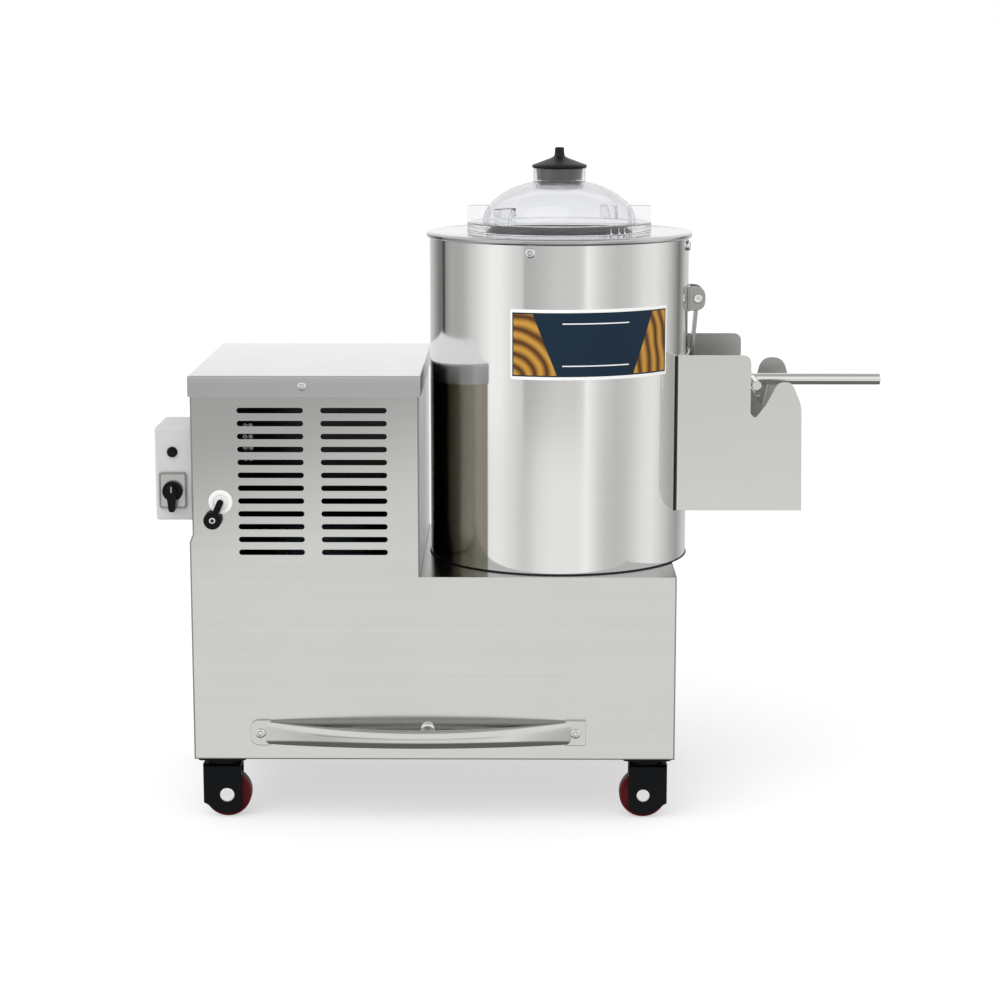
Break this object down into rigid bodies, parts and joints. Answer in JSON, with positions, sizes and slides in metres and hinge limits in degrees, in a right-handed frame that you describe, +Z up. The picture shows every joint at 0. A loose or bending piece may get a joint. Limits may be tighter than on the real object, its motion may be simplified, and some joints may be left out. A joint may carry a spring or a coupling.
{
  "type": "electric potato peeler",
  "caption": "Castor-mounted electric potato peeler: louvred motor tower, upright steel drum with clear lid and abrasive disc, outlet chute with lever-handled door, control box.",
  "frame": {"origin": "on the floor, at the middle of the machine's footprint", "axes": "+X from the motor tower to the outlet chute, +Y from the front to the rear, +Z up"},
  "size_m": [0.912, 0.417, 0.833],
  "materials": {
    "brushed_steel": "brushed stainless sheet",
    "polished_steel": "polished stainless steel",
    "machined_steel": "machined steel",
    "cast_iron": "plain cast iron",
    "black_plastic": "moulded black plastic",
    "black_paint": "black enamel",
    "grey_plastic": "light grey moulding",
    "white_plastic": "white moulding",
    "red_polyurethane": "dark red polyurethane",
    "abrasive": "coarse abrasive grain",
    "black_rubber": "matt black rubber",
    "motor_paint": "grey blue enamel",
    "clear_plastic": "clear polycarbonate"
  },
  "bodies": {
    "cabinet": {"front_panel": "brushed_steel", "rear_panel": "brushed_steel", "left_panel": "brushed_steel", "right_panel": "brushed_steel", "tower_inner_panel": "brushed_steel", "deck_panel": "brushed_steel", "base_pan": "brushed_steel", "tower_cover": "brushed_steel", "front_handle": "polished_steel", "control_box": "grey_plastic", "switch_plate": "machined_steel", "cam_switch_body": "black_plastic", "button_bezel": "black_plastic", "key_switch_bezel": "white_plastic", "contactor": "grey_plastic", "cable_gland": "black_plastic", "motor_bracket": "machined_steel", "motor_body": "motor_paint", "motor_terminal_box": "black_plastic", "drive_belt": "black_rubber", "drum_shell": "polished_steel", "abrasive_liner": "abrasive", "drum_floor": "brushed_steel", "drum_top_plate": "polished_steel", "bearing_housing": "cast_iron", "drain_outlet": "grey_plastic", "chute_front_cheek": "brushed_steel", "chute_rear_cheek": "brushed_steel", "chute_floor": "brushed_steel", "hinge_bracket": "polished_steel", "hinge_pin": "polished_steel", "castor_plate_front_left": "black_paint", "castor_plate_front_right": "black_paint", "castor_plate_rear_left": "black_paint", "castor_plate_rear_right": "black_paint"},
    "turntable": {"abrasive_disc": "abrasive", "drive_shaft": "machined_steel", "disc_nut": "machined_steel", "driven_pulley": "cast_iron"},
    "motor_rotor": {"motor_shaft": "machined_steel", "motor_pulley": "cast_iron"},
    "door": {"door_plate": "brushed_steel", "door_hanger": "polished_steel", "door_clevis": "polished_steel"},
    "door_lever": {"door_handle": "polished_steel"},
    "lid": {"lid": "clear_plastic"},
    "stopper": {"lid_stopper": "black_rubber"},
    "knob": {"switch_knob": "black_plastic"},
    "button": {"start_button": "black_plastic"},
    "key": {"lock_key": "black_plastic", "key_switch_barrel": "white_plastic"},
    "swivel_front_left": {"castor_fork_front_left": "black_paint"},
    "wheel_front_left": {"castor_wheel_front_left": "red_polyurethane"},
    "swivel_front_right": {"castor_fork_front_right": "black_paint"},
    "wheel_front_right": {"castor_wheel_front_right": "red_polyurethane"},
    "swivel_rear_left": {"castor_fork_rear_left": "black_paint"},
    "wheel_rear_left": {"castor_wheel_rear_left": "red_polyurethane"},
    "swivel_rear_right": {"castor_fork_rear_right": "black_paint"},
    "wheel_rear_right": {"castor_wheel_rear_right": "red_polyurethane"}
  },
  "joints": [
    {"name": "disc_spin", "type": "hinge", "parent": "cabinet", "child": "turntable", "pos_m": [0.043, 0.0085, 0.38], "axis": [0, 0, 1], "continuous": true},
    {"name": "motor_spin", "type": "hinge", "parent": "cabinet", "child": "motor_rotor", "pos_m": [-0.263, 0.0085, 0.134], "axis": [0, 0, 1], "continuous": true},
    {"name": "door_swing", "type": "hinge", "parent": "cabinet", "child": "door", "pos_m": [0.219, 0.0085, 0.6431], "axis": [0, -1, 0], "range_deg": [0, 70]},
    {"name": "lever_lift", "type": "hinge", "parent": "door", "child": "door_lever", "pos_m": [0.2268, 0.0085, 0.538], "axis": [0, -1, 0], "range_deg": [0, 60]},
    {"name": "lid_lift", "type": "slide", "parent": "cabinet", "child": "lid", "axis": [0, 0, 1], "range_m": [0, 0.15]},
    {"name": "stopper_lift", "type": "slide", "parent": "lid", "child": "stopper", "axis": [0, 0, 1], "range_m": [0, 0.08]},
    {"name": "knob_turn", "type": "hinge", "parent": "cabinet", "child": "knob", "pos_m": [-0.4344, -0.1575, 0.4186], "axis": [0, 1, 0], "range_deg": [0, 90]},
    {"name": "button_push", "type": "slide", "parent": "cabinet", "child": "button", "axis": [0, 1, 0], "range_m": [0, 0.003], "stiffness_N_per_m": 300},
    {"name": "key_turn", "type": "hinge", "parent": "cabinet", "child": "key", "pos_m": [-0.3734, -0.1675, 0.408], "axis": [0, 1, 0], "range_deg": [0, 90]},
    {"name": "swivel_turn_front_left", "type": "hinge", "parent": "cabinet", "child": "swivel_front_left", "pos_m": [-0.379, -0.1335, 0.07], "axis": [0, 0, 1], "continuous": true},
    {"name": "wheel_roll_front_left", "type": "hinge", "parent": "swivel_front_left", "child": "wheel_front_left", "pos_m": [-0.375, -0.1335, 0.02963], "axis": [0, 1, 0], "continuous": true},
    {"name": "swivel_turn_front_right", "type": "hinge", "parent": "cabinet", "child": "swivel_front_right", "pos_m": [0.153, -0.1335, 0.07], "axis": [0, 0, 1], "continuous": true},
    {"name": "wheel_roll_front_right", "type": "hinge", "parent": "swivel_front_right", "child": "wheel_front_right", "pos_m": [0.149, -0.1335, 0.02963], "axis": [0, 1, 0], "continuous": true},
    {"name": "swivel_turn_rear_left", "type": "hinge", "parent": "cabinet", "child": "swivel_rear_left", "pos_m": [-0.379, 0.1485, 0.07], "axis": [0, 0, 1], "continuous": true},
    {"name": "wheel_roll_rear_left", "type": "hinge", "parent": "swivel_rear_left", "child": "wheel_rear_left", "pos_m": [-0.375, 0.1485, 0.02963], "axis": [0, 1, 0], "continuous": true},
    {"name": "swivel_turn_rear_right", "type": "hinge", "parent": "cabinet", "child": "swivel_rear_right", "pos_m": [0.153, 0.1485, 0.07], "axis": [0, 0, 1], "continuous": true},
    {"name": "wheel_roll_rear_right", "type": "hinge", "parent": "swivel_rear_right", "child": "wheel_rear_right", "pos_m": [0.149, 0.1485, 0.02963], "axis": [0, 1, 0], "continuous": true}
  ],
  "couplings": [
    {"joint": "motor_spin", "follows": "disc_spin", "ratio": 3}
  ]
}
